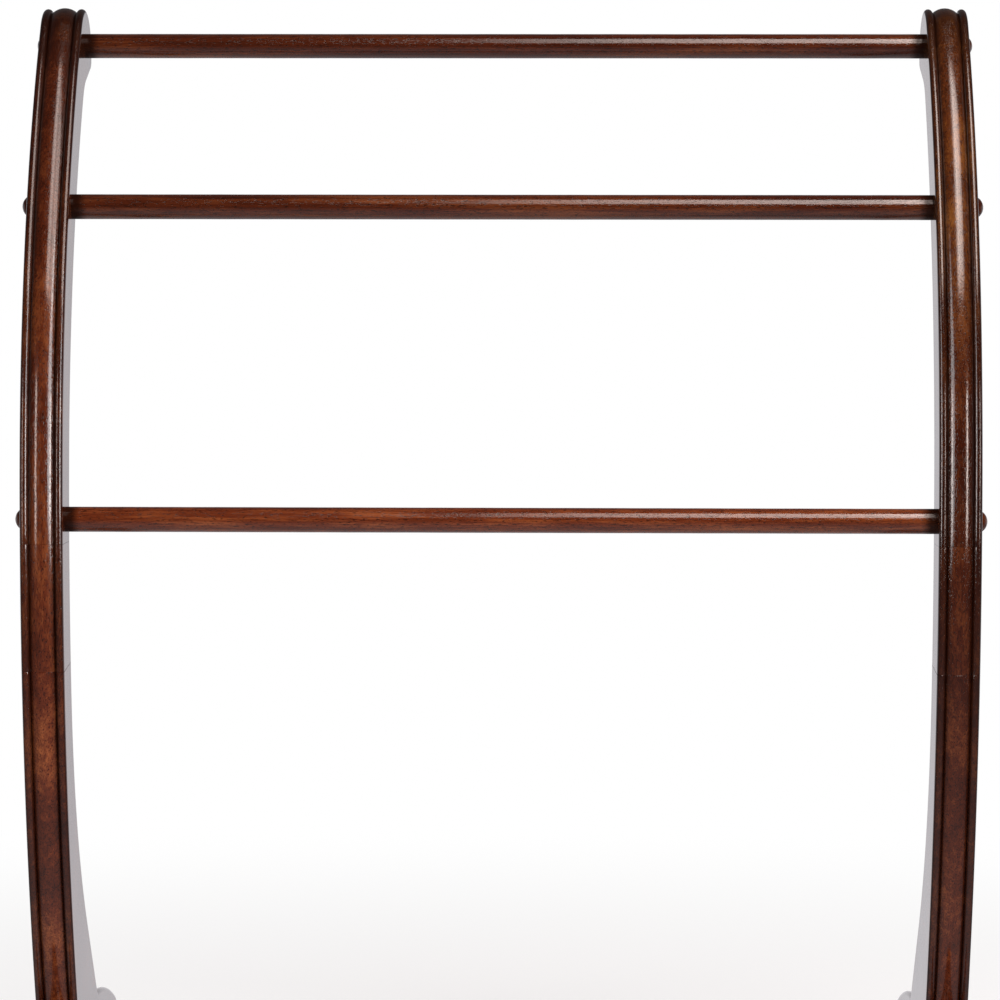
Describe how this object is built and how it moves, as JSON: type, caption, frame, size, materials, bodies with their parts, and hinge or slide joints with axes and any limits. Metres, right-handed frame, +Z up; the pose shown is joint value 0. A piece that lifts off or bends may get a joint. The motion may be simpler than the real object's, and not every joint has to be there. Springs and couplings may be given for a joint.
{
  "type": "quilt rack",
  "caption": "Free-standing quilt rack with bowed, moulded wooden sides on long feet, tied together by round rails, with domed buttons over the rail screws.",
  "frame": {"origin": "middle of the rack's plan on the floor, under the glides", "axes": "+X across the rack to its right side seen from the front, +Y from front to back, +Z up"},
  "size_m": [0.7326, 0.35, 0.8411],
  "materials": {
    "side_wood": "dark reddish-brown stain under satin lacquer, darker glaze in the moulding's grooves",
    "rail_wood": "the same stain on turned dowel rod, satin lacquer",
    "button_wood": "the same stain, slightly darker on end grain, satin lacquer",
    "screw_steel": "plain zinc-plated steel, hidden",
    "dowel_wood": "unfinished hardwood, hidden",
    "glide_plastic": "fine matt moulded finish"
  },
  "bodies": {
    "root": {"left_upper_board": "side_wood", "right_upper_board": "side_wood", "left_middle_board": "side_wood", "right_middle_board": "side_wood", "left_lower_board": "side_wood", "right_lower_board": "side_wood", "left_foot": "side_wood", "right_foot": "side_wood", "top_rail": "rail_wood", "second_rail": "rail_wood", "third_rail": "rail_wood", "lowest_rail": "rail_wood", "left_top_button": "button_wood", "right_top_button": "button_wood", "left_second_button": "button_wood", "right_second_button": "button_wood", "left_third_button": "button_wood", "right_third_button": "button_wood", "left_lowest_button": "button_wood", "right_lowest_button": "button_wood", "left_rail_screws": "screw_steel", "right_rail_screws": "screw_steel", "left_joint_dowels": "dowel_wood", "right_joint_dowels": "dowel_wood", "left_front_glide": "glide_plastic", "right_front_glide": "glide_plastic", "left_back_glide": "glide_plastic", "right_back_glide": "glide_plastic"}
  },
  "joints": []
}
